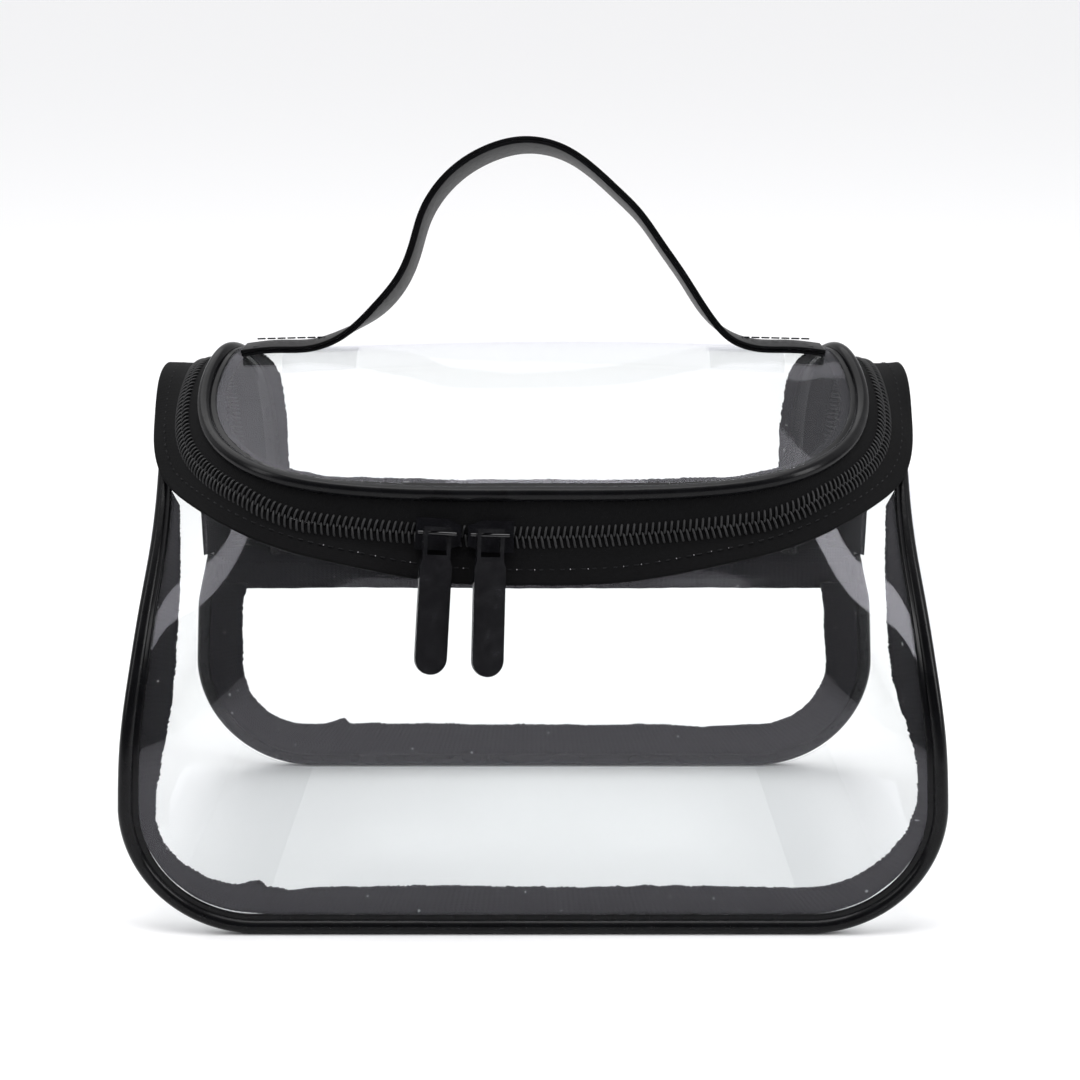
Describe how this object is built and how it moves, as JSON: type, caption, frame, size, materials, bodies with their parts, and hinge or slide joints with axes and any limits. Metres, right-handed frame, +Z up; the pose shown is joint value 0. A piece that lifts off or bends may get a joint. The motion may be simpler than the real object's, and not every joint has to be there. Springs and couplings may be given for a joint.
{
  "type": "makeup bag",
  "caption": "Clear vinyl makeup bag with black piping, an arched zip lid hinged along the back, two zip pulls and a flat strap handle on top.",
  "frame": {"origin": "centre of the base, on the surface that the bag stands on", "axes": "+X to the right along the bag's length, +Y to the back where the lid is hinged, +Z up"},
  "size_m": [0.2572, 0.1517, 0.2293],
  "materials": {
    "clear_pvc": "clear flexible PVC sheet",
    "clear_patch": "clear PVC patch",
    "black_pvc": "glossy black PVC piping",
    "strap_pvc": "glossy black PVC strap",
    "zip_tape": "black woven polyester tape",
    "binding": "black ribbed binding tape",
    "coil": "black nylon coil",
    "slider": "black enamel on zinc alloy",
    "thread": "black polyester thread"
  },
  "bodies": {
    "bag": {"front_panel": "clear_pvc", "back_panel": "clear_pvc", "gusset": "clear_pvc", "front_piping": "black_pvc", "back_piping": "black_pvc", "front_seam_binding": "binding", "back_seam_binding": "binding", "hinge_band": "binding", "hinge_tape": "binding", "zipper_tape_body": "zip_tape", "zipper_coil_body": "coil"},
    "lid": {"lid_panel": "clear_pvc", "lid_piping": "black_pvc", "lid_seam_binding": "binding", "zipper_tape_lid": "zip_tape", "zipper_coil_lid": "coil", "handle_end_left": "strap_pvc", "handle_end_right": "strap_pvc", "handle_patch_left": "clear_patch", "handle_patch_right": "clear_patch", "handle_stitches_left": "thread", "handle_stitches_right": "thread"},
    "handle": {"handle_strap": "strap_pvc", "handle_bend_left": "strap_pvc", "handle_bend_right": "strap_pvc"},
    "slider_left": {"slider_body_left": "slider", "slider_bridge_left": "slider"},
    "slider_right": {"slider_body_right": "slider", "slider_bridge_right": "slider"},
    "pull_left": {"zipper_pull_left": "slider"},
    "pull_right": {"zipper_pull_right": "slider"}
  },
  "joints": [
    {"name": "lid_hinge", "type": "hinge", "parent": "bag", "child": "lid", "pos_m": [0, 0.0662, 0.0795], "axis": [-1, 0, 0], "range_deg": [0, 110], "deforming": ["hinge_tape"]},
    {"name": "handle_swing", "type": "hinge", "parent": "lid", "child": "handle", "pos_m": [0, 0.0137, 0.1675], "axis": [1, 0, 0], "range_deg": [-25, 60], "stiffness_Nm_per_rad": 0.05, "deforming": ["handle_bend_left", "handle_bend_right"]},
    {"name": "slider_left_travel", "type": "hinge", "parent": "bag", "child": "slider_left", "pos_m": [0, 0.24256, 0.42606], "axis": [0, 0.7071, -0.7071], "range_deg": [0, 5.2]},
    {"name": "slider_right_travel", "type": "hinge", "parent": "bag", "child": "slider_right", "pos_m": [0, 0.24256, 0.42606], "axis": [0, -0.7071, 0.7071], "range_deg": [0, 10.4]},
    {"name": "pull_left_swing", "type": "hinge", "parent": "slider_left", "child": "pull_left", "pos_m": [-0.02767, -0.06682, 0.12485], "axis": [-0.998, 0.0452, 0.0452], "range_deg": [0, 150]},
    {"name": "pull_right_swing", "type": "hinge", "parent": "slider_right", "child": "pull_right", "pos_m": [-0.01227, -0.06732, 0.12435], "axis": [-0.9996, 0.0201, 0.0201], "range_deg": [0, 150]}
  ]
}
